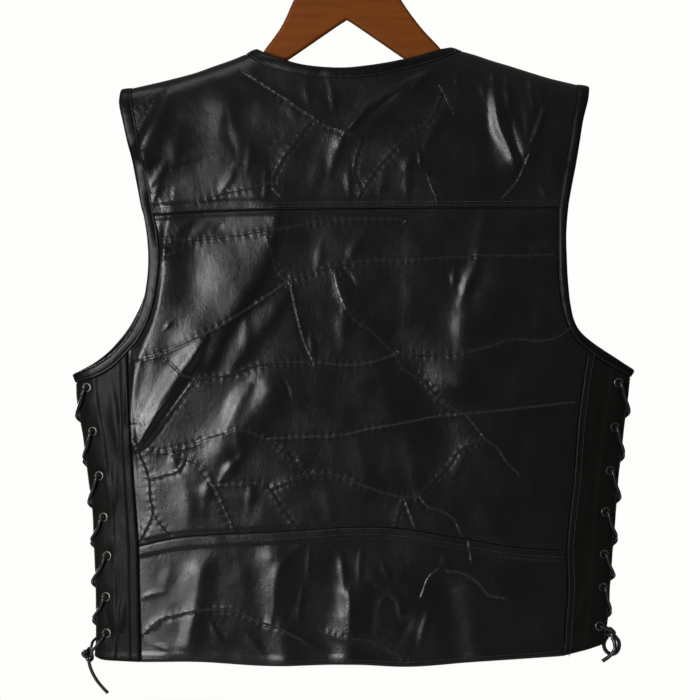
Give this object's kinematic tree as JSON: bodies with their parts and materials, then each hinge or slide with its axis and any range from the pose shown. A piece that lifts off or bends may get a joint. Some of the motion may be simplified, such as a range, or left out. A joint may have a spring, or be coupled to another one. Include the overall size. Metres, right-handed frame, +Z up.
{
  "type": "leather vest on a wooden hanger",
  "caption": "Sleeveless leather vest with a patchwork back, laced sides and a snap front, hung on a wooden hanger.",
  "frame": {"origin": "inner top of the hanger's hook, where it hangs on a rail", "axes": "+Z up; +Y the way the vest's front faces, so its back faces -Y; +X to the wearer's right"},
  "size_m": [0.5606, 0.079, 0.7945],
  "materials": {
    "leather": "smooth semi-gloss black cowhide",
    "binding": "folded black leather binding, semi-gloss",
    "lace": "round black leather thong",
    "eyelet": "dull antique nickel",
    "steel": "polished plated steel",
    "wood": "varnished mid-brown hardwood"
  },
  "bodies": {
    "root": {"armhole_binding_back_left": "binding", "armhole_binding_back_right": "binding", "armhole_binding_front_left": "binding", "armhole_binding_front_right": "binding", "back_band": "leather", "back_centre": "leather", "back_side_left": "leather", "back_side_right": "leather", "back_yoke": "leather", "eyelet_back_left_1": "eyelet", "eyelet_back_left_2": "eyelet", "eyelet_back_left_3": "eyelet", "eyelet_back_left_4": "eyelet", "eyelet_back_left_5": "eyelet", "eyelet_back_left_6": "eyelet", "eyelet_back_left_7": "eyelet", "eyelet_back_right_1": "eyelet", "eyelet_back_right_2": "eyelet", "eyelet_back_right_3": "eyelet", "eyelet_back_right_4": "eyelet", "eyelet_back_right_5": "eyelet", "eyelet_back_right_6": "eyelet", "eyelet_back_right_7": "eyelet", "eyelet_front_left_1": "eyelet", "eyelet_front_left_2": "eyelet", "eyelet_front_left_3": "eyelet", "eyelet_front_left_4": "eyelet", "eyelet_front_left_5": "eyelet", "eyelet_front_left_6": "eyelet", "eyelet_front_left_7": "eyelet", "eyelet_front_right_1": "eyelet", "eyelet_front_right_2": "eyelet", "eyelet_front_right_3": "eyelet", "eyelet_front_right_4": "eyelet", "eyelet_front_right_5": "eyelet", "eyelet_front_right_6": "eyelet", "eyelet_front_right_7": "eyelet", "front_edge_binding_left": "binding", "front_edge_binding_right": "binding", "front_left": "leather", "front_right": "leather", "hanger": "wood", "hook": "steel", "lace_knot_left": "lace", "lace_knot_right": "lace", "lace_left": "lace", "lace_loop_right": "lace", "lace_right": "lace", "lace_tail_left": "lace", "lace_tail_right": "lace", "neck_binding": "binding", "snap_1": "steel", "snap_2": "steel", "snap_3": "steel", "snap_4": "steel"}
  },
  "joints": []
}
